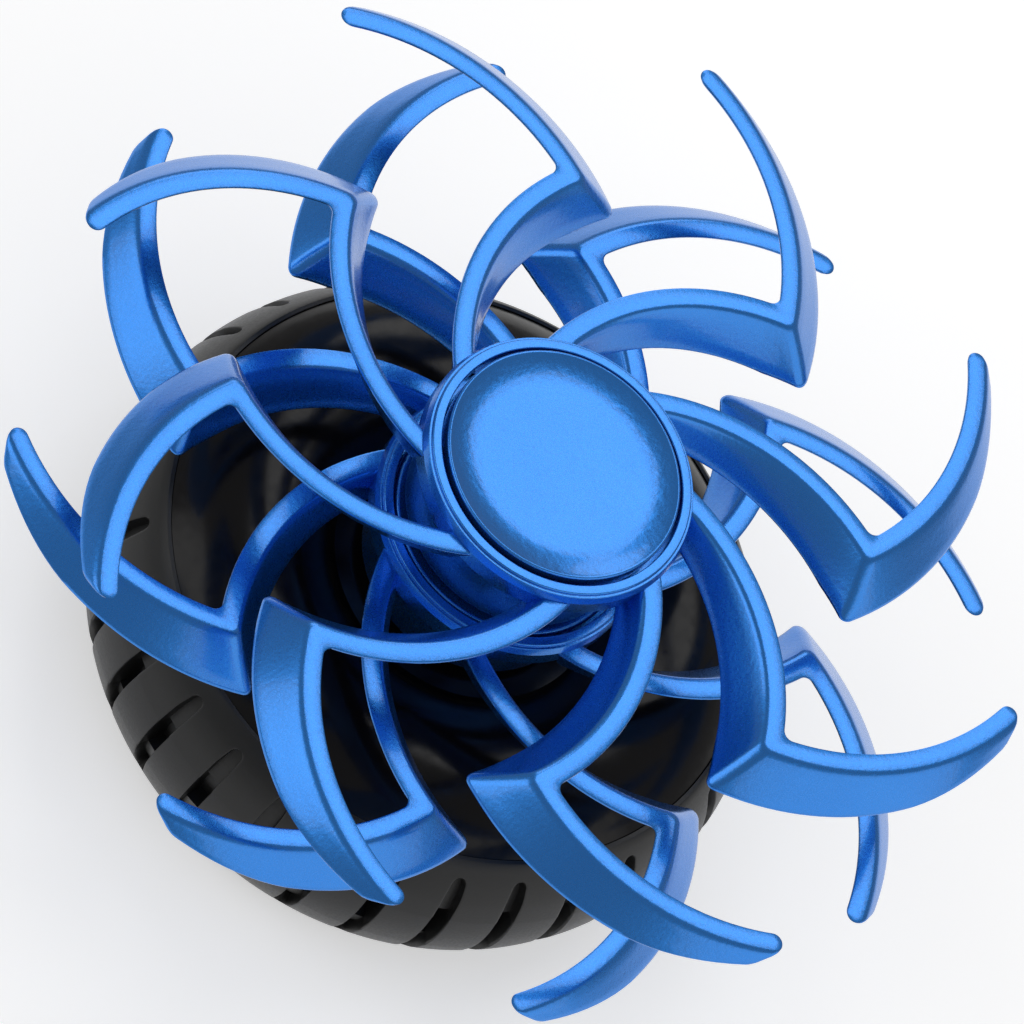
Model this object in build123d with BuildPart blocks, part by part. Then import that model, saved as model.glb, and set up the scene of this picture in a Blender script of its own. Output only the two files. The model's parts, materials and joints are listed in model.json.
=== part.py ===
"""Fidget spinner: two counter-handed bladed rotors on one axle, standing on a tyre-shaped base.

Millimetres, +Z up along the spin axis. The origin is the centre of the base, on the
surface that it stands on, and a blade tip of the upper rotor points along +X.
"""
from build123d import *
from math import cos, radians, sin
import os

# ---------------------------------------------------------------- driving dimensions
# rotors
BLADES = 8
TIP_RADIUS = 38.0          # spin axis to the centre of a blade's rounded tip
BLADE_WIDTH = 1.75         # flat top face of a blade
ELBOW_RADIUS = 25.0        # spin axis to the middle of the elbow
ELBOW_LAG = 28.6           # degrees from the tip back to the elbow
ROOT_RADIUS = 9.9          # where a blade's centreline enters the hub
ROOT_LEAD = 22.0           # degrees from the tip forward to the root
FIRST_ARM_BOW = 2.85       # sagitta of the arm from the root to the elbow
SECOND_ARM_BOW = 2.58      # sagitta of the arm from the elbow to the tip
BLADE_TWIST = 2.9          # degrees of lean per millimetre down the blade's wall
ELBOW_DEPTH = 3.4          # height of the wall at the elbow, its deepest place
ROOT_DEPTH = 2.6
TIP_DEPTH = 0.7
KNEE_RADIUS = 22.5         # the underside is deepest here
TAPER_RADIUS = 35.5        # from here out the underside curves up to the tip
TAPER_DEPTH = 2.2
CURVE_RADIUS = 37.8        # a point that the curve passes through
CURVE_DEPTH = 1.7
UPPER_PLANE = 32.6         # height of the upper rotor's flat blade faces
LOWER_PLANE = 23.7
LOWER_PHASE = -24.6        # degrees that the lower rotor is turned at rest

# hub of either rotor, heights measured from its blade plane
FLANGE_RADIUS = 10.6
FLANGE_THICKNESS = 1.4
FLANGE_RISE = 0.1          # the flange stands this far above the blades' faces
NECK_RADIUS = 8.8
NECK_FLARE = 0.8           # height of the cone from the neck out to the flange
UPPER_HUB_DEPTH = 7.7
LOWER_HUB_DEPTH = 7.0
HUB_SHELF = 0.75           # width of the shelf under the bearing's outer race
POCKET_RADIUS = 9.45
POCKET_DEPTH = 0.9
BEZEL_RADIUS = 10.2
BEZEL_RISE = 0.9
BEZEL_STEP = 0.2           # small step round the ring, where the cone below it ends
BEZEL_STEP_RISE = 0.68

# bearings: 12.7 x 6.35 x 4.76
BEARING_OD = 12.7
BEARING_BORE = 6.35
BEARING_WIDTH = 4.76
BEARING_DROP = 1.6         # blade plane down to the bearing's top face
BALL_DIAMETER = 1.588
BALLS = 10
RACE_GAP = 0.03            # running clearance between a ball and its grooves
PITCH_RADIUS = (BEARING_OD + BEARING_BORE) / 4
BALL_RADIUS = BALL_DIAMETER / 2

# stack on the axle
AXLE_RADIUS = 3.15
CAP_RADIUS = 9.15
CAP_RISE = 1.3             # blade plane up to the finger cap's rim
CAP_UNDERSIDE = 0.4        # blade plane down to the cap's underside
CAP_BOSS_RADIUS = 4.3
CAP_STUD_RADIUS = 1.5
CAP_STUD_LENGTH = 6.5
CAP_EDGE = 0.18            # rounding of the cap's rim
DISH_DEPTH = 0.6
DISH_FLOOR_RADIUS = 6.2
SPACER_RADIUS = 4.1
SPACER_BORE = 3.18
COLLAR_BELOW = 0.4         # middle spacer's collar, from the lower blade plane
COLLAR_ABOVE = 0.5

# tyre-shaped base
SHOULDER_RADIUS = 23.5
SHOULDER_HEIGHT = 15.4
TREAD_RADIUS = 26.3
TYRE_BOTTOM = 0.8
TYRE_BORE = 20.3
TREAD_SLOTS = 32
SLOT_START = 8.8           # degrees that the ring of slots is turned
CREST_RADIUS = 18.5
CREST_HEIGHT = 17.8
COVER_WALL = 1.2
CORE_TOP = 14.1
FOOT_INNER = 14.0
FOOT_OUTER = 18.0

os.makedirs("parts", exist_ok=True)


def save(piece, name):
    """Label a finished piece and write it to its own file."""
    piece.part.label = name
    export_step(piece.part, f"parts/{name}.step")


def polar(radius, degrees):
    """Point at a radius and an angle about the spin axis."""
    return (radius * cos(radians(degrees)), radius * sin(radians(degrees)))


# ---------------------------------------------------------------- rotors
def blade_outline(hand, phase, depth):
    """Hooked outline of one blade: two bowed arms that meet at a sharp elbow.

    hand is +1 when the elbow trails clockwise of the tip, -1 for its mirror image;
    depth is how far below the flat face this outline lies.
    """
    turn = phase - hand * BLADE_TWIST * depth
    tip = polar(TIP_RADIUS, turn)
    elbow = polar(ELBOW_RADIUS, turn - hand * ELBOW_LAG)
    root = polar(ROOT_RADIUS, turn + hand * ROOT_LEAD)
    with BuildLine(mode=Mode.PRIVATE):
        first_arm = SagittaArc(root, elbow, hand * FIRST_ARM_BOW)
        second_arm = SagittaArc(elbow, tip, -hand * SECOND_ARM_BOW)
    SlotArc(first_arm, BLADE_WIDTH)
    SlotArc(second_arm, BLADE_WIDTH)


def rotor_casting(hand, plane, phase, hub_depth):
    """One rotor: a stepped hub and its ring of hooked blades, cast in one piece."""
    below_root = plane - ROOT_DEPTH
    below_elbow = plane - ELBOW_DEPTH
    below_tip = plane - TIP_DEPTH
    outside = TIP_RADIUS + BLADE_WIDTH
    bottom = below_elbow - 2
    with BuildPart() as blade:
        for depth in (0, ELBOW_DEPTH / 2, ELBOW_DEPTH):
            with BuildSketch(Plane.XY.offset(plane - depth)):
                blade_outline(hand, phase, depth)
        loft()
        # the wall is deepest at the elbow and runs out towards the tip and the root
        with BuildSketch(Plane.XZ):
            with BuildLine():
                Polyline((0, below_root), (NECK_RADIUS, below_root), (KNEE_RADIUS, below_elbow))
                Line((KNEE_RADIUS, below_elbow), (TAPER_RADIUS, plane - TAPER_DEPTH))
                ThreePointArc(
                    (TAPER_RADIUS, plane - TAPER_DEPTH),
                    (CURVE_RADIUS, plane - CURVE_DEPTH),
                    (outside, below_tip),
                )
                Polyline((outside, below_tip), (outside, bottom), (0, bottom), (0, below_root))
            make_face()
        revolve(axis=Axis.Z, mode=Mode.SUBTRACT)
    with BuildPart() as rotor:
        with BuildSketch(Plane.XZ):
            with BuildLine():
                Polyline(
                    (0, plane - hub_depth),
                    (NECK_RADIUS - 0.4, plane - hub_depth),
                    (NECK_RADIUS, plane - hub_depth + 0.4),
                    (NECK_RADIUS, plane - FLANGE_THICKNESS - NECK_FLARE),
                    (FLANGE_RADIUS - 0.3, plane - FLANGE_THICKNESS),
                    (FLANGE_RADIUS, plane - FLANGE_THICKNESS + 0.3),
                    (FLANGE_RADIUS, plane + FLANGE_RISE),
                    (0, plane + FLANGE_RISE),
                    (0, plane - hub_depth),
                )
            make_face()
        revolve(axis=Axis.Z)
        with PolarLocations(0, BLADES):
            add(blade.part)
        shelf_bore = BEARING_OD / 2 - HUB_SHELF
        with Locations((0, 0, plane + FLANGE_RISE)):
            Hole(shelf_bore)
            CounterBoreHole(shelf_bore, BEARING_OD / 2, FLANGE_RISE + BEARING_DROP + BEARING_WIDTH)
            CounterBoreHole(shelf_bore, POCKET_RADIUS, FLANGE_RISE + POCKET_DEPTH)
    return rotor


upper_rotor = rotor_casting(hand=1, plane=UPPER_PLANE, phase=0, hub_depth=UPPER_HUB_DEPTH)
save(upper_rotor, "upper_rotor")
lower_rotor = rotor_casting(hand=-1, plane=LOWER_PLANE, phase=LOWER_PHASE, hub_depth=LOWER_HUB_DEPTH)
save(lower_rotor, "lower_rotor")


def bezel_ring(plane):
    """Ring around a hub's pocket: a cone up from the flange, a small step, and a flat top."""
    seat = plane + FLANGE_RISE
    top = plane + BEZEL_RISE
    with BuildPart() as bezel:
        with BuildSketch(Plane.XZ):
            with BuildLine():
                Polyline(
                    (POCKET_RADIUS, seat),
                    (FLANGE_RADIUS, seat),
                    (BEZEL_RADIUS + BEZEL_STEP, plane + BEZEL_STEP_RISE),
                    (BEZEL_RADIUS, plane + BEZEL_STEP_RISE),
                    (BEZEL_RADIUS, top),
                    (POCKET_RADIUS, top),
                    (POCKET_RADIUS, seat),
                )
            make_face()
        revolve(axis=Axis.Z)
        fillet(bezel.faces().sort_by(Axis.Z)[-1].edges(), 0.1)
    return bezel


save(bezel_ring(UPPER_PLANE), "upper_bezel")
save(bezel_ring(LOWER_PLANE), "lower_bezel")


# ---------------------------------------------------------------- bearings
def race(inner, outer, middle):
    """A bearing race between two radii, with the balls' groove turned into it."""
    with BuildPart() as ring:
        with BuildSketch(Plane.XY.offset(middle - BEARING_WIDTH / 2)):
            Circle(outer)
            Circle(inner, mode=Mode.SUBTRACT)
        extrude(amount=BEARING_WIDTH)
        chamfer(ring.edges().filter_by(GeomType.CIRCLE).sort_by(Axis.Z).group_by(Axis.Z)[0], 0.15)
        chamfer(ring.edges().filter_by(GeomType.CIRCLE).group_by(Axis.Z)[-1], 0.15)
        with BuildSketch(Plane.XZ):
            with Locations((PITCH_RADIUS, middle)):
                Circle(BALL_RADIUS + RACE_GAP)
        revolve(axis=Axis.Z, mode=Mode.SUBTRACT)
    return ring


def bearing(prefix, plane):
    """One ball bearing: two races, the ball set, its cage and a shield on each side."""
    middle = plane - BEARING_DROP - BEARING_WIDTH / 2
    save(race(BEARING_BORE / 2, PITCH_RADIUS - 0.5, middle), f"{prefix}_inner_race")
    save(race(PITCH_RADIUS + 0.5, BEARING_OD / 2, middle), f"{prefix}_outer_race")
    with BuildPart() as balls:
        with Locations((0, 0, middle)):
            with PolarLocations(PITCH_RADIUS, BALLS):
                Sphere(BALL_RADIUS)
    save(balls, f"{prefix}_balls")
    with BuildPart() as cage:
        with BuildSketch(Plane.XY.offset(middle - 1.3)):
            Circle(PITCH_RADIUS + 0.35)
            Circle(PITCH_RADIUS - 0.35, mode=Mode.SUBTRACT)
        extrude(amount=1.7)
        with Locations((0, 0, middle)):
            with PolarLocations(PITCH_RADIUS, BALLS):
                Sphere(BALL_RADIUS + RACE_GAP, mode=Mode.SUBTRACT)
    save(cage, f"{prefix}_cage")
    for side, centre in (("top", middle + 1.95), ("bottom", middle - 1.95)):
        with BuildPart() as shield:
            with BuildSketch(Plane.XY.offset(centre - 0.1)):
                Circle(PITCH_RADIUS + 0.5)
                Circle(PITCH_RADIUS - 0.4, mode=Mode.SUBTRACT)
            extrude(amount=0.2)
        save(shield, f"{prefix}_shield_{side}")


bearing("upper", UPPER_PLANE)
bearing("lower", LOWER_PLANE)

# ---------------------------------------------------------------- stack on the axle
upper_race_top = UPPER_PLANE - BEARING_DROP
upper_race_bottom = upper_race_top - BEARING_WIDTH
lower_race_top = LOWER_PLANE - BEARING_DROP
lower_race_bottom = lower_race_top - BEARING_WIDTH
rim_height = UPPER_PLANE + CAP_RISE
dish_floor = rim_height - DISH_DEPTH

# finger cap: a dished disc with a boss that clamps the upper inner race, and a stud
dish_edge = CAP_RADIUS - CAP_EDGE
dish_run = dish_edge - DISH_FLOOR_RADIUS
with BuildPart() as finger_cap:
    with BuildSketch(Plane.XZ):
        with BuildLine():
            Polyline(
                (0, dish_floor),
                (0, upper_race_top - CAP_STUD_LENGTH),
                (CAP_STUD_RADIUS, upper_race_top - CAP_STUD_LENGTH),
                (CAP_STUD_RADIUS, upper_race_top),
                (CAP_BOSS_RADIUS, upper_race_top),
                (CAP_BOSS_RADIUS, UPPER_PLANE - CAP_UNDERSIDE),
                (CAP_RADIUS, UPPER_PLANE - CAP_UNDERSIDE),
                (CAP_RADIUS, rim_height - CAP_EDGE),
            )
            ThreePointArc(
                (CAP_RADIUS, rim_height - CAP_EDGE),
                (CAP_RADIUS - 0.3 * CAP_EDGE, rim_height - 0.3 * CAP_EDGE),
                (dish_edge, rim_height),
            )
            ThreePointArc(
                (dish_edge, rim_height),
                (DISH_FLOOR_RADIUS + dish_run / 2, dish_floor + DISH_DEPTH / 4),
                (DISH_FLOOR_RADIUS, dish_floor),
            )
            Line((DISH_FLOOR_RADIUS, dish_floor), (0, dish_floor))
        make_face()
    revolve(axis=Axis.Z)
save(finger_cap, "finger_cap")

# axle: a bolt whose head is held in the base, tapped at the top for the cap's stud
HEAD_RADIUS = 5.5
HEAD_BOTTOM = 2.9
HEAD_TOP = 5.0
WASHER_THICKNESS = 0.5
axle_top = upper_race_top - 0.5
with BuildPart() as axle:
    with BuildSketch(Plane.XY.offset(HEAD_BOTTOM)):
        Circle(HEAD_RADIUS)
    extrude(amount=HEAD_TOP - HEAD_BOTTOM)
    with BuildSketch(Plane.XY.offset(HEAD_TOP)):
        Circle(AXLE_RADIUS)
    extrude(amount=axle_top - HEAD_TOP)
    chamfer(axle.edges().filter_by(GeomType.CIRCLE).sort_by(Axis.Z)[-1], 0.3)
    with BuildSketch(Plane.XY.offset(HEAD_BOTTOM)):
        RegularPolygon(2.3, 6)
    extrude(amount=1.5, mode=Mode.SUBTRACT)
    with BuildSketch(Plane.XY.offset(axle_top)):
        Circle(1.6)
    extrude(amount=-8, mode=Mode.SUBTRACT)
save(axle, "axle")

with BuildPart() as axle_washer:
    with BuildSketch(Plane.XY.offset(HEAD_TOP)):
        Circle(HEAD_RADIUS)
        Circle(SPACER_BORE, mode=Mode.SUBTRACT)
    extrude(amount=WASHER_THICKNESS)
save(axle_washer, "axle_washer")

# middle spacer: a sleeve between the inner races, whose wide collar roofs the lower hub
with BuildPart() as middle_spacer:
    with BuildSketch(Plane.XY.offset(lower_race_top)):
        Circle(SPACER_RADIUS)
    extrude(amount=upper_race_bottom - lower_race_top)
    with BuildSketch(Plane.XY.offset(LOWER_PLANE - COLLAR_BELOW)):
        Circle(CAP_RADIUS)
    extrude(amount=COLLAR_BELOW + COLLAR_ABOVE)
    fillet(middle_spacer.edges().filter_by(GeomType.CIRCLE).group_by(SortBy.RADIUS)[-1], 0.3)
    with BuildSketch(Plane.XY.offset(lower_race_top)):
        Circle(SPACER_BORE)
    extrude(amount=upper_race_bottom - lower_race_top, mode=Mode.SUBTRACT)
save(middle_spacer, "middle_spacer")

with BuildPart() as lower_spacer:
    with BuildSketch(Plane.XY.offset(CORE_TOP)):
        Circle(SPACER_RADIUS)
        Circle(SPACER_BORE, mode=Mode.SUBTRACT)
    extrude(amount=lower_race_bottom - CORE_TOP)
save(lower_spacer, "lower_spacer")

# ---------------------------------------------------------------- tyre-shaped base
tread_middle = (SHOULDER_HEIGHT + TYRE_BOTTOM) / 2
cover_seat = SHOULDER_HEIGHT - COVER_WALL
cover_edge = SHOULDER_RADIUS - 0.35


def leaf_slot(length, inset):
    """Cutter for one leaf-shaped slot across the tread, whose floor follows the bulge."""
    half = length / 2
    end = 0.45
    side = 0.9
    with BuildPart() as slot:
        with BuildSketch(Plane(origin=(0, 0, tread_middle), x_dir=(-1, 0, 0), z_dir=(0, 1, 0))):
            with BuildLine():
                ThreePointArc((end, -half), (side, 0), (end, half))
                ThreePointArc((end, half), (0, half + end), (-end, half))
                ThreePointArc((-end, half), (-side, 0), (-end, -half))
                ThreePointArc((-end, -half), (0, -half - end), (end, -half))
            make_face()
        extrude(amount=TREAD_RADIUS + 2)
        # keep only what lies outside the slot's floor
        with BuildSketch(Plane.XZ):
            with BuildLine():
                ThreePointArc(
                    (SHOULDER_RADIUS - inset, SHOULDER_HEIGHT),
                    (TREAD_RADIUS - inset, tread_middle),
                    (SHOULDER_RADIUS - inset, TYRE_BOTTOM),
                )
                Polyline(
                    (SHOULDER_RADIUS - inset, TYRE_BOTTOM),
                    (TREAD_RADIUS + 3, TYRE_BOTTOM),
                    (TREAD_RADIUS + 3, SHOULDER_HEIGHT),
                    (SHOULDER_RADIUS - inset, SHOULDER_HEIGHT),
                )
            make_face()
        revolve(axis=Axis.Z, mode=Mode.INTERSECT)
    return slot


with BuildPart() as slot_cutter:
    add(leaf_slot(length=12.0, inset=0.6).part)
    add(leaf_slot(length=5.0, inset=1.7).part)

with BuildPart() as tyre:
    with BuildSketch(Plane.XZ):
        with BuildLine():
            ThreePointArc(
                (SHOULDER_RADIUS, SHOULDER_HEIGHT),
                (TREAD_RADIUS, tread_middle),
                (SHOULDER_RADIUS, TYRE_BOTTOM),
            )
            Polyline(
                (SHOULDER_RADIUS, TYRE_BOTTOM),
                (TYRE_BORE, TYRE_BOTTOM),
                (TYRE_BORE, cover_seat),
                (cover_edge, cover_seat),
                (cover_edge, SHOULDER_HEIGHT),
                (SHOULDER_RADIUS, SHOULDER_HEIGHT),
            )
        make_face()
    revolve(axis=Axis.Z)
    with PolarLocations(0, TREAD_SLOTS, start_angle=SLOT_START):
        add(slot_cutter.part, mode=Mode.SUBTRACT)
save(tyre, "tyre")

# sidewall cover: a shell that swells between the shoulder and a flat middle
COVER_FLAT_RADIUS = 10.5
COVER_FLAT_TOP = 15.9
with BuildPart() as sidewall_cover:
    with BuildSketch(Plane.XZ):
        with BuildLine():
            ThreePointArc(
                (cover_edge - 0.05, SHOULDER_HEIGHT - 0.05),
                (CREST_RADIUS, CREST_HEIGHT),
                (COVER_FLAT_RADIUS, COVER_FLAT_TOP),
            )
            Polyline(
                (COVER_FLAT_RADIUS, COVER_FLAT_TOP),
                (5.0, COVER_FLAT_TOP),
                (5.0, CORE_TOP),
                (COVER_FLAT_RADIUS, CORE_TOP),
            )
            ThreePointArc(
                (COVER_FLAT_RADIUS, CORE_TOP),
                (CREST_RADIUS - 0.6, CREST_HEIGHT - COVER_WALL),
                (TYRE_BORE + 0.6, cover_seat),
            )
            Polyline(
                (TYRE_BORE + 0.6, cover_seat),
                (cover_edge - 0.05, cover_seat),
                (cover_edge - 0.05, SHOULDER_HEIGHT - 0.05),
            )
        make_face()
    revolve(axis=Axis.Z)
save(sidewall_cover, "sidewall_cover")

# core: the wheel inside the tyre, with a solid boss for the axle and a pocket for ballast
BOSS_RADIUS = 10.6
CORE_RADIUS = TYRE_BORE - 0.05
COVER_TOP = 2.4
WEB_BOTTOM = 9.0
SCREW_CIRCLE = 8.4
SCREWS = 4
with BuildPart() as core:
    with BuildSketch(Plane.XZ):
        Polygon(
            (0, COVER_TOP),
            (BOSS_RADIUS, COVER_TOP),
            (BOSS_RADIUS, WEB_BOTTOM),
            (CORE_RADIUS - 1.6, WEB_BOTTOM),
            (CORE_RADIUS - 1.6, COVER_TOP),
            (CORE_RADIUS, COVER_TOP),
            (CORE_RADIUS, cover_seat - 0.05),
            (COVER_FLAT_RADIUS + 4, cover_seat - 0.9),
            (COVER_FLAT_RADIUS - 0.5, cover_seat - 0.9),
            (COVER_FLAT_RADIUS - 0.5, CORE_TOP),
            (0, CORE_TOP),
            align=None,
        )
    revolve(axis=Axis.Z)
    with BuildSketch(Plane.XY.offset(COVER_TOP)):
        Circle(HEAD_RADIUS + 0.3)
    extrude(amount=HEAD_TOP + WASHER_THICKNESS - COVER_TOP, mode=Mode.SUBTRACT)
    with BuildSketch(Plane.XY.offset(COVER_TOP)):
        Circle(SPACER_BORE)
    extrude(amount=CORE_TOP - COVER_TOP, mode=Mode.SUBTRACT)
    with BuildSketch(Plane.XY.offset(COVER_TOP)):
        with PolarLocations(SCREW_CIRCLE, SCREWS, start_angle=45):
            Circle(1.05)
    extrude(amount=4.6, mode=Mode.SUBTRACT)
save(core, "core")

with BuildPart() as ballast_ring:
    with BuildSketch(Plane.XY.offset(WEB_BOTTOM - 4.5)):
        Circle(CORE_RADIUS - 1.7)
        Circle(BOSS_RADIUS + 0.1, mode=Mode.SUBTRACT)
    extrude(amount=4.5)
save(ballast_ring, "ballast_ring")

# bottom cover with countersunk screws and a groove for the foot ring
GROOVE_DEPTH = 0.6
with BuildPart() as bottom_cover:
    with BuildSketch(Plane.XY.offset(TYRE_BOTTOM)):
        Circle(CORE_RADIUS)
    extrude(amount=COVER_TOP - TYRE_BOTTOM)
    with BuildSketch(Plane.XY.offset(TYRE_BOTTOM)):
        Circle(FOOT_OUTER)
        Circle(FOOT_INNER, mode=Mode.SUBTRACT)
    extrude(amount=GROOVE_DEPTH, mode=Mode.SUBTRACT)
    with Locations(Plane(origin=(0, 0, TYRE_BOTTOM), z_dir=(0, 0, -1))):
        with PolarLocations(SCREW_CIRCLE, SCREWS, start_angle=45):
            CounterSinkHole(radius=1.1, counter_sink_radius=2.05)
save(bottom_cover, "bottom_cover")

with BuildPart() as screw:
    with BuildSketch(Plane.XZ):
        Polygon(
            (0, TYRE_BOTTOM + 0.1),
            (1.9, TYRE_BOTTOM + 0.1),
            (0.98, TYRE_BOTTOM + 1.02),
            (0.98, COVER_TOP + 4.2),
            (0, COVER_TOP + 4.2),
            align=None,
        )
    revolve(axis=Axis.Z)

with BuildPart() as cover_screws:
    with PolarLocations(SCREW_CIRCLE, SCREWS, start_angle=45):
        add(screw.part)
save(cover_screws, "cover_screws")

with BuildPart() as foot_ring:
    with BuildSketch():
        Circle(FOOT_OUTER - 0.05)
        Circle(FOOT_INNER + 0.05, mode=Mode.SUBTRACT)
    extrude(amount=TYRE_BOTTOM + GROOVE_DEPTH)
    fillet(foot_ring.faces().sort_by(Axis.Z)[0].edges(), 0.3)
save(foot_ring, "foot_ring")
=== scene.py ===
"""Looks of the fidget spinner: metallic blue rotors over a black tyre-shaped base.

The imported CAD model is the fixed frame. The rotors, bezels, finger cap and tyre are rebuilt
here as finer meshes with rounded edges. The other parts keep their CAD meshes. Every material
is procedural.
"""
import json
import math

import bmesh
import bpy
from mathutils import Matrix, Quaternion, Vector


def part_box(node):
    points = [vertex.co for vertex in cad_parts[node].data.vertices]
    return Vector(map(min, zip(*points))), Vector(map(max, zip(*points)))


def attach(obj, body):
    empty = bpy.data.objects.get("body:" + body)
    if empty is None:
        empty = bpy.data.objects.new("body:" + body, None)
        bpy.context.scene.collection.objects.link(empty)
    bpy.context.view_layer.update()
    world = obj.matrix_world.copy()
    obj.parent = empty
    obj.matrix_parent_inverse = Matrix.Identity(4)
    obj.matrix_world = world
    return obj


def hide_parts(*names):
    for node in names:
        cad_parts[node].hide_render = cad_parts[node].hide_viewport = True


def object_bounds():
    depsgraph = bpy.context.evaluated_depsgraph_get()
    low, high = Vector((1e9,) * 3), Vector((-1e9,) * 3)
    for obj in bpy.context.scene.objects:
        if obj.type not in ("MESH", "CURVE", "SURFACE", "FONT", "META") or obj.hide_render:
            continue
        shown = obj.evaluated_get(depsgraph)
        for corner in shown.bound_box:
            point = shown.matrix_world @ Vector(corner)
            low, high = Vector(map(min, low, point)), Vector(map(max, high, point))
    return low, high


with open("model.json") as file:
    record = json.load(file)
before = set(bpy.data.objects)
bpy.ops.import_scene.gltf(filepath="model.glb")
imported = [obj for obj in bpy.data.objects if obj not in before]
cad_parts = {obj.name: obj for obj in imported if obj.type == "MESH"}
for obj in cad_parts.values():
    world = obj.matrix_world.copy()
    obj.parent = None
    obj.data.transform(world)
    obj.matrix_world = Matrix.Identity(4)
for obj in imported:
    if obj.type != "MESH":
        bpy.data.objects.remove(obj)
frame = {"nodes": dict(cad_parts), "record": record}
cad_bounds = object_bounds()

MM = 0.001

# ---------------------------------------------------------------- dimensions, in millimetres
# blades
BLADES = 8
TIP_RADIUS = 38.0
BLADE_WIDTH = 1.75
ELBOW_RADIUS = 25.0
ELBOW_LAG = 28.6           # degrees from the tip back to the elbow
ROOT_RADIUS = 9.9
ROOT_LEAD = 22.0           # degrees from the tip forward to the root
FIRST_ARM_BOW = 2.85       # sagitta of the arm from the root to the elbow
SECOND_ARM_BOW = 2.58      # sagitta of the arm from the elbow to the tip
BLADE_TWIST = 2.9          # degrees of lean per millimetre down the wall
LOWER_PHASE = -24.6        # degrees that the lower rotor is turned at rest
TOP_ROUND = 0.3
BOTTOM_ROUND = 0.34
ELBOW_FILLET = 0.6
ROOT_DEPTH = 2.6
ELBOW_DEPTH = 3.4
KNEE_RADIUS = 22.5         # the underside is deepest here
TAPER_RADIUS = 35.5        # from here out the underside curves up to the tip
TAPER_DEPTH = 2.2
CURVE_RUN = 4.25           # radial scale of that curve
CURVE_FALL = 0.62          # its linear and square terms
CURVE_BEND = 0.88

# hubs and bezels
FLANGE_RADIUS = 10.6
FLANGE_THICKNESS = 1.4
FLANGE_RISE = 0.1          # the flange stands this far above the blades' faces
NECK_RADIUS = 8.8
NECK_FLARE = 0.8           # height of the cone from the neck out to the flange
POCKET_RADIUS = 9.45
POCKET_DEPTH = 0.9
BEARING_RADIUS = 6.35
BEARING_SEAT = 6.36        # blade plane down to the shelf under the bearing
SHELF_RADIUS = 5.6
BEZEL_RADIUS = 10.2
BEZEL_STEP = 0.2
BEZEL_STEP_RISE = 0.68

# finger cap
CAP_RADIUS = 9.15
CAP_EDGE = 0.18            # rounding of the rim
CAP_UNDERSIDE = 0.4        # blade plane down to the cap's underside
CAP_BOSS_RADIUS = 4.3
CAP_BOSS_DEPTH = 2.0       # dish floor down to the end of the boss
DISH_DEPTH = 0.6
DISH_FLOOR_RADIUS = 6.2
DISH_FLAT_RADIUS = 3.0     # an extra ring of points on the floor
DISH_LIP = 0.03            # the slope starts this far below the rim
DISH_STEPS = 24
AXIS_GAP = 0.001           # keeps a lathe's inmost points off the axis

# tyre
SHOULDER_RADIUS = 23.5
SHOULDER_WALL = 0.35       # width of the ring outside the sidewall cover
SHOULDER_TRIM = 0.06
TREAD_RADIUS = 26.3
TYRE_BORE = 20.3
COVER_SEAT_DROP = 1.2
TREAD_SLOTS = 32
SLOT_START = 8.8           # degrees that the ring of slots is turned
SLOT_END = 0.56            # radius of a slot's rounded end
SLOT_HALF_WIDTH = 0.68
SLOT_WIDENING = 0.12       # growth of the half width per millimetre from the rounded end
SLOT_TIP = 0.1             # half width at the very end
SLOT_MARGIN = 1.15         # height from the shoulder to a slot's end
PAD_LENGTH = 3.8           # shallow part at either end of a slot
PAD_DEPTH = 1.0
SLOT_DEPTH = 2.3
# one side of a slot: distance outside its edge, and share of its depth
SLOT_EDGE = ((0.2, 0), (0.07, 0.004), (0.02, 0.03), (0, 0.1))
SLOT_FOOT = 0.04           # distance inside the edge where the floor starts
LAND_STEPS = 3

# heights that the frame gives
UPPER_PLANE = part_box("upper_rotor")[1].z / MM - FLANGE_RISE
LOWER_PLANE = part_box("lower_rotor")[1].z / MM - FLANGE_RISE
UPPER_BEZEL_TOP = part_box("upper_bezel")[1].z / MM
LOWER_BEZEL_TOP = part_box("lower_bezel")[1].z / MM
CAP_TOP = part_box("finger_cap")[1].z / MM


# ---------------------------------------------------------------- mesh helpers
def new_object(name, mesh):
    """Put a mesh in the scene as an object."""
    thing = bpy.data.objects.new(name, mesh)
    bpy.context.scene.collection.objects.link(thing)
    return thing


def shade(mesh, sharp_degrees=40):
    """Smooth shading, broken where two faces meet at more than an angle."""
    mesh.shade_smooth()
    mesh.set_sharp_from_angle(angle=math.radians(sharp_degrees))


def finish_mesh(bm, name, sharp_degrees=40):
    """Turn millimetres into metres, tidy the normals and give a smooth-shaded object."""
    bmesh.ops.remove_doubles(bm, verts=bm.verts, dist=1e-4)
    bmesh.ops.recalc_face_normals(bm, faces=bm.faces)
    bmesh.ops.scale(bm, vec=(MM, MM, MM), verts=bm.verts)
    mesh = bpy.data.meshes.new(name)
    bm.to_mesh(mesh)
    bm.free()
    shade(mesh, sharp_degrees)
    return new_object(name, mesh)


def close_rings(bm, rings):
    """Faces between neighbouring closed rings of points, the last one joined to the first."""
    for ring, following in zip(rings, rings[1:] + rings[:1]):
        bridge(bm, ring, following)


def bridge(bm, ring, following):
    """Faces between two closed rings that have the same number of points."""
    for index in range(len(ring)):
        beyond = (index + 1) % len(ring)
        bm.faces.new((ring[index], ring[beyond], following[beyond], following[index]))


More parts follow.
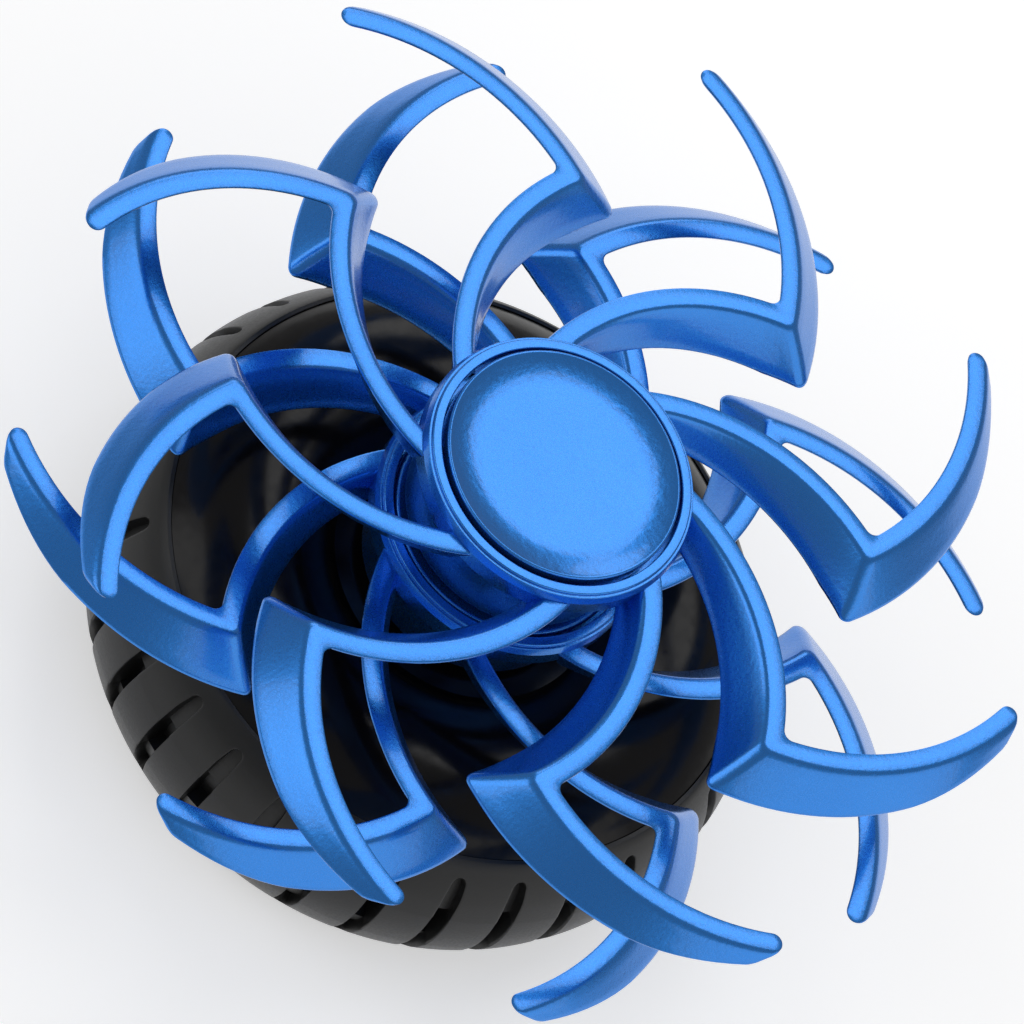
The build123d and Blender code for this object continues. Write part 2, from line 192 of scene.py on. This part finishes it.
def round_corner(before, corner, after, radius, steps=5):
    """Points of a rounded corner of a profile."""
    into = (Vector(before) - Vector(corner)).normalized()
    out = (Vector(after) - Vector(corner)).normalized()
    half = into.angle(out) / 2
    reach = radius / math.tan(half)
    centre = Vector(corner) + (into + out).normalized() * (radius / math.sin(half))
    start = Vector(corner) + into * reach - centre
    end = Vector(corner) + out * reach - centre
    turn = start.angle(end)
    points = []
    for step in range(steps + 1):
        share = step / steps
        blend = start * math.sin((1 - share) * turn) + end * math.sin(share * turn)
        points.append(centre + blend / math.sin(turn))
    return points


def rounded(profile):
    """Closed profile of (radius, height, corner radius) entries, with its corners rounded."""
    points = []
    count = len(profile)
    for index, (r, z, corner) in enumerate(profile):
        if corner == 0:
            points.append(Vector((r, z)))
            continue
        before = profile[index - 1][:2]
        after = profile[(index + 1) % count][:2]
        points += round_corner(before, (r, z), after, corner)
    return points


def lathe(bm, points, segments=160):
    """Closed ring swept round the spin axis from a closed profile of (radius, height) points."""
    rings = []
    for step in range(segments):
        turn = 2 * math.pi * step / segments
        rings.append([
            bm.verts.new((r * math.cos(turn), r * math.sin(turn), z)) for r, z in points
        ])
    close_rings(bm, rings)


def ring_piece(name, profile):
    """A turned ring with rounded corners."""
    bm = bmesh.new()
    lathe(bm, rounded(profile))
    return finish_mesh(bm, name)


# ---------------------------------------------------------------- blades
def polar(radius, degrees):
    """Point of the plane at a radius and an angle."""
    angle = math.radians(degrees)
    return Vector((radius * math.cos(angle), radius * math.sin(angle)))


def turned(vector, angle):
    """A plane vector turned by an angle in radians."""
    return Vector((vector.x * math.cos(angle) - vector.y * math.sin(angle),
                   vector.x * math.sin(angle) + vector.y * math.cos(angle)))


class Arc:
    """Circular arc between two points of the plane, bowed to the left by a signed height."""

    def __init__(self, start, end, bow):
        chord = end - start
        left = Vector((-chord.y, chord.x)).normalized()
        self.radius = (chord.length_squared / 4 + bow * bow) / (2 * bow)
        self.centre = (start + end) / 2 + left * (bow - self.radius)

    def toward(self, point):
        """Unit vector from the centre to the left side of the travel, at a point."""
        side = (point - self.centre).normalized()
        return side if self.radius > 0 else -side

    def sample(self, first, last, offset, count):
        """Points from one end to the other of the arc that runs beside this one."""
        start = self.toward(first)
        turn = start.angle_signed(self.toward(last))
        reach = self.radius + offset
        result = []
        for step in range(count + 1):
            side = turned(start, -turn * step / count)
            result.append((self.centre + side * reach, side))
        return result


def circles_cross(centre_a, radius_a, centre_b, radius_b, near):
    """The crossing of two circles that lies nearest a point."""
    between = centre_b - centre_a
    span = between.length
    along = (radius_a**2 - radius_b**2 + span**2) / (2 * span)
    aside = math.sqrt(radius_a**2 - along**2)
    base = centre_a + between * (along / span)
    across = Vector((-between.y, between.x)) * (aside / span)
    return min((base + across, base - across), key=lambda point: (point - near).length)


def corner_sweep(first, second, point, steps=8):
    """Directions away from the hollow side, swung round a corner from one arc to the other."""
    start = -first.toward(point)
    bend = -start.angle_signed(-second.toward(point))
    return [turned(start, bend * step / steps) for step in range(1, steps)]


def blade_sides(arm_steps=28, tip_steps=8):
    """The two long sides of a blade's outline: paired (point, outward) samples, root to tip."""
    half = BLADE_WIDTH / 2
    root = polar(ROOT_RADIUS, ROOT_LEAD)
    elbow = polar(ELBOW_RADIUS, -ELBOW_LAG)
    tip = polar(TIP_RADIUS, 0)
    first = Arc(root, elbow, FIRST_ARM_BOW)
    second = Arc(elbow, tip, -SECOND_ARM_BOW)
    # hollow side: the fillet's centre keeps one distance from both centrelines
    reach = half + ELBOW_FILLET
    pivot = circles_cross(
        first.centre, abs(first.radius + reach), second.centre, abs(second.radius + reach), elbow
    )
    hollow = first.sample(root, pivot, half, arm_steps)
    hollow += [(pivot + out * ELBOW_FILLET, -out) for out in corner_sweep(first, second, pivot)]
    hollow += second.sample(pivot, tip, half, arm_steps)
    # outer side: the corner swings round the elbow
    outer = [(point, -side) for point, side in first.sample(root, elbow, -half, arm_steps)]
    outer += [(elbow + out * half, out) for out in corner_sweep(first, second, elbow)]
    outer += [(point, -side) for point, side in second.sample(elbow, tip, -half, arm_steps)]
    # rounded tip
    left = second.toward(tip)
    ahead = Vector((left.y, -left.x))
    for step in range(1, tip_steps + 1):
        angle = math.pi / 2 * (1 - step / tip_steps)
        hollow_out = ahead * math.cos(angle) + left * math.sin(angle)
        outer_out = ahead * math.cos(angle) - left * math.sin(angle)
        hollow.append((tip + hollow_out * half, hollow_out))
        outer.append((tip + outer_out * half, outer_out))
    return hollow, outer


def wall_depth(radius):
    """Height of a blade's wall at a distance from the spin axis."""
    if radius < NECK_RADIUS:
        return ROOT_DEPTH
    if radius < KNEE_RADIUS:
        share = (radius - NECK_RADIUS) / (KNEE_RADIUS - NECK_RADIUS)
        return ROOT_DEPTH + (ELBOW_DEPTH - ROOT_DEPTH) * share
    if radius < TAPER_RADIUS:
        share = (radius - KNEE_RADIUS) / (TAPER_RADIUS - KNEE_RADIUS)
        return ELBOW_DEPTH - (ELBOW_DEPTH - TAPER_DEPTH) * share
    run = (radius - TAPER_RADIUS) / CURVE_RUN
    return TAPER_DEPTH - CURVE_FALL * run - CURVE_BEND * run * run


def section_steps(depth):
    """Inset and depth of each point down one side of a blade, from its face to its underside."""
    quarter = [(math.sin(math.pi / 6 * step), math.cos(math.pi / 6 * step)) for step in range(4)]
    wall_bottom = depth - BOTTOM_ROUND
    steps = [(TOP_ROUND * (1 - sine), TOP_ROUND * (1 - cosine)) for sine, cosine in quarter]
    steps += [(0, TOP_ROUND + (wall_bottom - TOP_ROUND) * step / 4) for step in range(1, 4)]
    steps += [(BOTTOM_ROUND * (1 - cosine), wall_bottom + BOTTOM_ROUND * sine)
              for sine, cosine in quarter]
    return steps


def add_blade(bm, hand, plane, phase):
    """One hooked blade with rounded edges, whose wall leans round the spin axis as it goes down."""
    hollow, outer = blade_sides()

    def place(point, out, inset, depth):
        spot = point - out * inset
        lean = math.radians(phase - hand * BLADE_TWIST * depth)
        spot = turned(Vector((spot.x, hand * spot.y)), lean)
        return bm.verts.new((spot.x, spot.y, plane - depth))

    rings = []
    for (left, left_out), (right, right_out) in zip(hollow, outer):
        up_left = reversed(section_steps(wall_depth(left.length)))
        down_right = section_steps(wall_depth(right.length))
        ring = [place(left, left_out, *step) for step in up_left]
        ring += [place(right, right_out, *step) for step in down_right]
        rings.append(ring)
    for ring, following in zip(rings, rings[1:]):
        bridge(bm, ring, following)
    bm.faces.new(rings[0])
    bm.faces.new(rings[-1])


# ---------------------------------------------------------------- rotors, bezels and finger cap
def rotor_piece(name, node, hand, plane, phase):
    """A whole rotor: the blades joined to a stepped, rounded hub."""
    hub_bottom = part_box(node)[0].z / MM
    flange_bottom = plane - FLANGE_THICKNESS
    bm = bmesh.new()
    for count in range(BLADES):
        add_blade(bm, hand, plane, phase + 360 / BLADES * count)
    blades = finish_mesh(bm, name + "_blades")
    hub = ring_piece(name, [
        (SHELF_RADIUS, hub_bottom, 0.1),
        (NECK_RADIUS, hub_bottom, 0.35),
        (NECK_RADIUS, flange_bottom - NECK_FLARE, 0.5),
        (FLANGE_RADIUS, flange_bottom, 0.25),
        (FLANGE_RADIUS, plane + FLANGE_RISE, 0),
        (POCKET_RADIUS, plane + FLANGE_RISE, 0),
        (POCKET_RADIUS, plane - POCKET_DEPTH, 0),
        (BEARING_RADIUS, plane - POCKET_DEPTH, 0.1),
        (BEARING_RADIUS, plane - BEARING_SEAT, 0),
        (SHELF_RADIUS, plane - BEARING_SEAT, 0.1),
    ])
    union = hub.modifiers.new("blades", "BOOLEAN")
    union.operation = "UNION"
    union.solver = "EXACT"
    union.object = blades
    bpy.context.view_layer.update()
    joined = hub.evaluated_get(bpy.context.evaluated_depsgraph_get())
    whole = bpy.data.meshes.new_from_object(joined)
    hub.modifiers.clear()
    hub.data = whole
    shade(whole)
    bpy.data.objects.remove(blades)
    return hub


def bezel_piece(name, plane, top):
    """Ring round the hub's pocket: a cone up from the flange, a small step, and a flat top."""
    return ring_piece(name, [
        (POCKET_RADIUS, plane + FLANGE_RISE, 0),
        (FLANGE_RADIUS, plane + FLANGE_RISE, 0),
        (BEZEL_RADIUS + BEZEL_STEP, plane + BEZEL_STEP_RISE, 0.06),
        (BEZEL_RADIUS, plane + BEZEL_STEP_RISE, 0.03),
        (BEZEL_RADIUS, top, 0.12),
        (POCKET_RADIUS, top, 0.1),
    ])


def finger_cap_piece():
    """Dished cap: a narrow rounded rim, a curved slope and a flat floor, over a clamping boss."""
    floor = CAP_TOP - DISH_DEPTH
    boss_end = floor - CAP_BOSS_DEPTH
    under = UPPER_PLANE - CAP_UNDERSIDE
    boss, low_edge, rim = (CAP_BOSS_RADIUS, under), (CAP_RADIUS, under), (CAP_RADIUS, CAP_TOP)
    inside_rim = (CAP_RADIUS - 1, CAP_TOP - 0.15)
    slope_start = CAP_RADIUS - CAP_EDGE
    profile = [Vector((AXIS_GAP, boss_end)), Vector((CAP_BOSS_RADIUS, boss_end)), Vector(boss)]
    profile += round_corner(boss, low_edge, rim, 0.2)
    profile += round_corner(low_edge, rim, inside_rim, CAP_EDGE, 8)
    for step in range(1, DISH_STEPS + 1):
        share = step / DISH_STEPS
        radius = slope_start + (DISH_FLOOR_RADIUS - slope_start) * share
        profile.append(Vector((radius, floor + (DISH_DEPTH - DISH_LIP) * (1 - share) ** 2)))
    profile += [Vector((DISH_FLAT_RADIUS, floor)), Vector((AXIS_GAP, floor))]
    bm = bmesh.new()
    lathe(bm, profile, 192)
    return finish_mesh(bm, "finger_cap_finish")


# ---------------------------------------------------------------- tyre
def slot_shape(from_end):
    """Half width and depth of a tread slot at a height from its nearer end."""
    if from_end <= 0:
        return SLOT_TIP, 0.0
    if from_end < SLOT_END:
        width = math.sqrt(2 * SLOT_END * from_end - from_end**2)
    else:
        width = min(SLOT_HALF_WIDTH, SLOT_END + (from_end - SLOT_END) * SLOT_WIDENING)
    return max(width, SLOT_TIP), PAD_DEPTH if from_end <= PAD_LENGTH else SLOT_DEPTH


def pitch_columns(half_pitch, width):
    """Columns across one pitch of the tread: distance from the slot's middle, share of depth."""
    land = half_pitch - width - SLOT_EDGE[0][0]
    lands = [half_pitch - land * step / LAND_STEPS for step in range(LAND_STEPS)]
    columns = [(-place, 0) for place in lands]
    columns += [(-width - outside, share) for outside, share in SLOT_EDGE]
    columns += [(-width + SLOT_FOOT, 1), (-width / 2, 1), (0, 1), (width / 2, 1)]
    columns += [(width - SLOT_FOOT, 1)]
    columns += [(width + outside, share) for outside, share in reversed(SLOT_EDGE)]
    return columns + [(place, 0) for place in reversed(lands[1:])]


def tyre_rows(low, high):
    """Rows down the tread, close together at a slot's ends and its steps.

    Each is a height and the distance into a slot from its nearer end.
    """
    slot_half = (high - low) / 2 - SLOT_MARGIN
    angles = (0, 12, 25, 38, 50, 62, 76, 90)
    from_end = [-SLOT_MARGIN, 0.12 - SLOT_MARGIN, 0.6 - SLOT_MARGIN, -0.02]
    from_end += [SLOT_END * (1 - math.cos(math.radians(angle))) for angle in angles]
    from_end += [1.2, 1.8, 2.4, PAD_LENGTH, PAD_LENGTH + 0.08, 4.2, slot_half - 1]
    upper = [(high - SLOT_MARGIN - distance, distance) for distance in from_end]
    lower = [(low + high - height, distance) for height, distance in reversed(upper)]
    return upper + [((low + high) / 2, slot_half)] + lower


def tyre_piece():
    """Tyre with leaf-shaped slots across its tread, each stepped down to a deep middle."""
    low, high = (corner.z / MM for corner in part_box("tyre"))
    middle, half = (low + high) / 2, (high - low) / 2
    sagitta = TREAD_RADIUS - SHOULDER_RADIUS
    bulge = (half**2 + sagitta**2) / (2 * sagitta)
    pitch = 2 * math.pi / TREAD_SLOTS
    bm = bmesh.new()

    def ring(radius, height, out=Vector((1, 0)), width=SLOT_TIP, depth=0):
        """One closed row of points, sunk along the surface's outward direction in its slots."""
        points = []
        columns = pitch_columns(pitch * TREAD_RADIUS / 2, width)
        for count in range(TREAD_SLOTS):
            for place, share in columns:
                spot = Vector((radius, height)) - out * (share * depth)
                turn = math.radians(90 + SLOT_START) + pitch * count + place / TREAD_RADIUS
                points.append(
                    bm.verts.new((spot.x * math.cos(turn), spot.x * math.sin(turn), spot.y))
                )
        return points

    rings = []
    for height, from_end in tyre_rows(low, high):
        rise = height - middle
        across = math.sqrt(bulge**2 - rise**2)
        radius = TREAD_RADIUS - bulge + across
        if from_end == -SLOT_MARGIN:
            radius -= SHOULDER_TRIM
        width, depth = slot_shape(from_end)
        rings.append(ring(radius, height, Vector((across, rise)) / bulge, width, depth))
    seat = high - COVER_SEAT_DROP
    wall = SHOULDER_RADIUS - SHOULDER_WALL
    rings += [ring(TYRE_BORE, low), ring(TYRE_BORE, seat), ring(wall, seat), ring(wall, high)]
    close_rings(bm, rings)
    return finish_mesh(bm, "tyre_finish", 35)


# ---------------------------------------------------------------- the pieces
upper_rotor = rotor_piece("upper_rotor_finish", "upper_rotor", 1, UPPER_PLANE, 0)
lower_rotor = rotor_piece("lower_rotor_finish", "lower_rotor", -1, LOWER_PLANE, LOWER_PHASE)
upper_bezel = bezel_piece("upper_bezel_finish", UPPER_PLANE, UPPER_BEZEL_TOP)
lower_bezel = bezel_piece("lower_bezel_finish", LOWER_PLANE, LOWER_BEZEL_TOP)
finger_cap = finger_cap_piece()
tyre = tyre_piece()


# ---------------------------------------------------------------- materials
def node_material(name):
    """A new node material with its shader and a texture coordinate to start from."""
    material = bpy.data.materials.new(name)
    material.use_nodes = True
    nodes = material.node_tree.nodes
    shader = nodes["Principled BSDF"]
    place = nodes.new("ShaderNodeTexCoord")
    return material, nodes, material.node_tree.links, shader, place.outputs["Object"]


def noise(nodes, links, place, scale, detail=3.0):
    """Noise texture over the object's own coordinates; scale is in features per metre."""
    texture = nodes.new("ShaderNodeTexNoise")
    texture.inputs["Scale"].default_value = scale
    texture.inputs["Detail"].default_value = detail
    links.new(place, texture.inputs["Vector"])
    return texture.outputs["Fac"]


def ranged(nodes, links, value, low, high):
    """Map the middle of a noise value's span to a range."""
    span = nodes.new("ShaderNodeMapRange")
    span.inputs["From Min"].default_value = 0.3
    span.inputs["From Max"].default_value = 0.7
    span.inputs["To Min"].default_value = low
    span.inputs["To Max"].default_value = high
    links.new(value, span.inputs["Value"])
    return span.outputs["Result"]


def add_bump(nodes, links, shader, height, strength, distance):
    """Bump the shader's normal by a noise value; distance is in metres."""
    bump = nodes.new("ShaderNodeBump")
    bump.inputs["Strength"].default_value = strength
    bump.inputs["Distance"].default_value = distance
    links.new(height, bump.inputs["Height"])
    links.new(bump.outputs["Normal"], shader.inputs["Normal"])


def blue_metal(name, grain=1.0, peel_scale=2600):
    """Metallic blue coat over blasted metal: fine orange peel, slightly uneven colour."""
    material, nodes, links, shader, place = node_material(name)
    peel = noise(nodes, links, place, peel_scale, 2.0)
    flake = noise(nodes, links, place, 9000, 1.0)
    cloud = noise(nodes, links, place, 160, 2.0)
    tint = nodes.new("ShaderNodeMix")
    tint.data_type = "RGBA"
    tint.inputs[6].default_value = (0.018, 0.19, 0.63, 1)
    tint.inputs[7].default_value = (0.026, 0.225, 0.70, 1)
    links.new(cloud, tint.inputs[0])
    links.new(tint.outputs[2], shader.inputs["Base Color"])
    links.new(ranged(nodes, links, flake, 0.25, 0.33), shader.inputs["Roughness"])
    shader.inputs["Metallic"].default_value = 0.92
    shader.inputs["Coat Weight"].default_value = 0.6
    shader.inputs["Coat Roughness"].default_value = 0.12
    add_bump(nodes, links, shader, peel, 0.35 * grain, 0.00004)
    return material


def moulding(name, colour, roughness, grain_scale, grain, gloss=0.5):
    """Moulded plastic or rubber with a fine grain."""
    material, nodes, links, shader, place = node_material(name)
    fine = noise(nodes, links, place, grain_scale, 3.0)
    shader.inputs["Base Color"].default_value = (*colour, 1)
    shader.inputs["Specular IOR Level"].default_value = gloss
    rough = ranged(nodes, links, fine, roughness - 0.05, roughness + 0.05)
    links.new(rough, shader.inputs["Roughness"])
    add_bump(nodes, links, shader, fine, grain, 0.00003)
    return material


def turned_metal(name, colour, roughness):
    """Turned steel with faint tool marks."""
    material, nodes, links, shader, place = node_material(name)
    marks = noise(nodes, links, place, 3000, 1.0)
    shader.inputs["Base Color"].default_value = (*colour, 1)
    shader.inputs["Metallic"].default_value = 1.0
    rough = ranged(nodes, links, marks, roughness - 0.04, roughness + 0.06)
    links.new(rough, shader.inputs["Roughness"])
    return material


BLUE = blue_metal("blue_metal_coat")
CAP_BLUE = blue_metal("blue_metal_cap", 2.2, 1700)
TREAD = moulding("tread_rubber_finish", (0.008, 0.008, 0.008), 0.38, 5000, 0.2, 0.35)
GLOSS = moulding("gloss_black_finish", (0.004, 0.0032, 0.0033), 0.2, 1200, 0.1, 0.2)
PLASTIC = moulding("black_plastic_finish", (0.02, 0.02, 0.02), 0.5, 4000, 0.3)
FOOT = moulding("foot_rubber_finish", (0.025, 0.025, 0.025), 0.7, 4000, 0.4)
STEEL = turned_metal("bright_steel_finish", (0.62, 0.62, 0.61), 0.28)
BEARING = turned_metal("bearing_steel_finish", (0.72, 0.72, 0.72), 0.18)
BALLAST = turned_metal("ballast_steel_finish", (0.3, 0.29, 0.28), 0.45)
CAGE = moulding("cage_plastic_finish", (0.6, 0.55, 0.42), 0.5, 3000, 0.2)

SLOT_LOOKS = {
    "blue_metal": BLUE,
    "tread_rubber": TREAD,
    "gloss_black": GLOSS,
    "black_plastic": PLASTIC,
    "foot_rubber": FOOT,
    "bright_steel": STEEL,
    "bearing_steel": BEARING,
    "ballast_steel": BALLAST,
    "cage_plastic": CAGE,
}


def dress(piece, material):
    """Give a new piece its one material."""
    piece.data.materials.clear()
    piece.data.materials.append(material)


for part in frame["record"]["subparts"]:
    node = frame["nodes"][part["node"]]
    for place in node.material_slots:
        place.material = SLOT_LOOKS[part["material_slot"]]

for piece, node, body, slot, look in (
    (upper_rotor, "upper_rotor", "upper_rotor", "blue_metal", BLUE),
    (lower_rotor, "lower_rotor", "lower_rotor", "blue_metal", BLUE),
    (upper_bezel, "upper_bezel", "upper_rotor", "blue_metal", BLUE),
    (lower_bezel, "lower_bezel", "lower_rotor", "blue_metal", BLUE),
    (finger_cap, "finger_cap", "base", "blue_metal", CAP_BLUE),
    (tyre, "tyre", "base", "tread_rubber", TREAD),
):
    dress(piece, look)
    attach(piece, body)
    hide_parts(node)


# ---------------------------------------------------------------- floor, light and camera
FLOOR_HALF_SIZE = 1.5
FLOOR_GAP = 0.0001
SOFTBOX_DISTANCE = 0.8


def lit_floor_material():
    """White acrylic sheet lit softly from behind."""
    material, _, _, shader, _ = node_material("floor_pale")
    shader.inputs["Base Color"].default_value = (0.9, 0.9, 0.9, 1)
    shader.inputs["Roughness"].default_value = 0.9
    shader.inputs["Emission Color"].default_value = (1, 1, 1, 1)
    shader.inputs["Emission Strength"].default_value = 0.42
    return material


def bearing_vector(azimuth, elevation):
    """Unit vector that points out along an azimuth and elevation in degrees."""
    turn, rise = math.radians(azimuth), math.radians(elevation)
    level = math.cos(rise)
    return Vector((math.cos(turn) * level, math.sin(turn) * level, math.sin(rise)))


def softbox(name, azimuth, elevation, width, height, radiance):
    """Rectangular softbox, with its size in metres, that faces the spinner."""
    data = bpy.data.lights.new(name, "AREA")
    data.shape = "RECTANGLE"
    data.size = width
    data.size_y = height
    data.energy = radiance * math.pi * width * height
    light = bpy.data.objects.new(name, data)
    direction = bearing_vector(azimuth, elevation)
    light.location = direction * SOFTBOX_DISTANCE
    light.rotation_mode = "QUATERNION"
    light.rotation_quaternion = direction.to_track_quat("Z", "Y")
    bpy.context.scene.collection.objects.link(light)


floor_grid = bmesh.new()
bmesh.ops.create_grid(floor_grid, x_segments=1, y_segments=1, size=FLOOR_HALF_SIZE)
floor_mesh = bpy.data.meshes.new("floor")
floor_grid.to_mesh(floor_mesh)
floor_grid.free()
floor = new_object("floor", floor_mesh)
floor.location.z = cad_bounds[0].z - FLOOR_GAP
dress(floor, lit_floor_material())

world = bpy.data.worlds.new("studio")
world.use_nodes = True
background = world.node_tree.nodes["Background"]
background.inputs["Color"].default_value = (1, 1, 1, 1)
background.inputs["Strength"].default_value = 0.35
bpy.context.scene.world = world
bpy.context.scene.view_settings.view_transform = "Standard"

softbox("overhead_softbox", 297, 58, 0.40, 0.40, 1.75)
softbox("low_softbox", 322, 33, 0.25, 0.32, 1.7)
softbox("far_side_softbox", 58, 35, 0.60, 0.45, 1.4)
softbox("near_side_softbox", 190, 24, 0.95, 0.65, 0.8)

# the camera looks down from beyond the blades and is rolled, so the spin axis leans to the right
CAMERA_AZIMUTH = 116.65
CAMERA_ELEVATION = 54.24
CAMERA_DISTANCE = 0.5651
CAMERA_ROLL = 43.32
CAMERA_LENS = 273.0
CAMERA_TARGET = Vector((0.00036, 0.00018, 0.02503))

camera_data = bpy.data.cameras.new("camera")
camera_data.lens = CAMERA_LENS
camera_data.sensor_width = 36
camera_data.clip_start = 0.01
camera = bpy.data.objects.new("camera", camera_data)
bpy.context.scene.collection.objects.link(camera)
back = bearing_vector(CAMERA_AZIMUTH, CAMERA_ELEVATION)
camera.location = CAMERA_TARGET + back * CAMERA_DISTANCE
camera.rotation_mode = "QUATERNION"
level = back.to_track_quat("Z", "Y")
camera.rotation_quaternion = Quaternion(back, math.radians(CAMERA_ROLL)) @ level
bpy.context.scene.camera = camera
